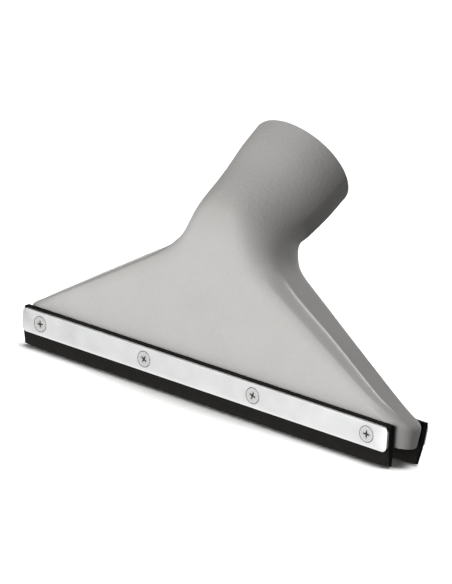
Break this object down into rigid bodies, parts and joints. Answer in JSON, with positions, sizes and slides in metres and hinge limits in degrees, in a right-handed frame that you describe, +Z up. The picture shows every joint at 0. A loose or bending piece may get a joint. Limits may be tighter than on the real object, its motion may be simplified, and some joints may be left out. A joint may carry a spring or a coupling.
{
  "type": "wet pick-up nozzle",
  "caption": "Fan-shaped cast metal wet pick-up nozzle with an angled round wand socket and rubber squeegee lips held by screwed stainless strips.",
  "frame": {"origin": "on the floor under the middle of the tool's bounding box, with both lips standing on the floor at Z = 0", "axes": "+X along the mouth and the lips, +Y rearwards, the way the wand socket leans, +Z up in the working stance"},
  "size_m": [0.2592, 0.0851, 0.1519],
  "materials": {
    "cast_body": "satin silver-grey cast aluminium with a fine cast grain",
    "rubber": "matt black squeegee rubber",
    "stainless": "finely brushed stainless strip",
    "screw_steel": "bright stainless screw with a dark cross recess"
  },
  "bodies": {
    "root": {"nozzle_body": "cast_body", "front_lip": "rubber", "rear_lip": "rubber", "front_clamp_strip": "stainless", "rear_clamp_strip": "stainless", "front_screw_1": "screw_steel", "front_screw_2": "screw_steel", "front_screw_3": "screw_steel", "front_screw_4": "screw_steel", "rear_screw_1": "screw_steel", "rear_screw_2": "screw_steel", "rear_screw_3": "screw_steel", "rear_screw_4": "screw_steel"}
  },
  "joints": []
}
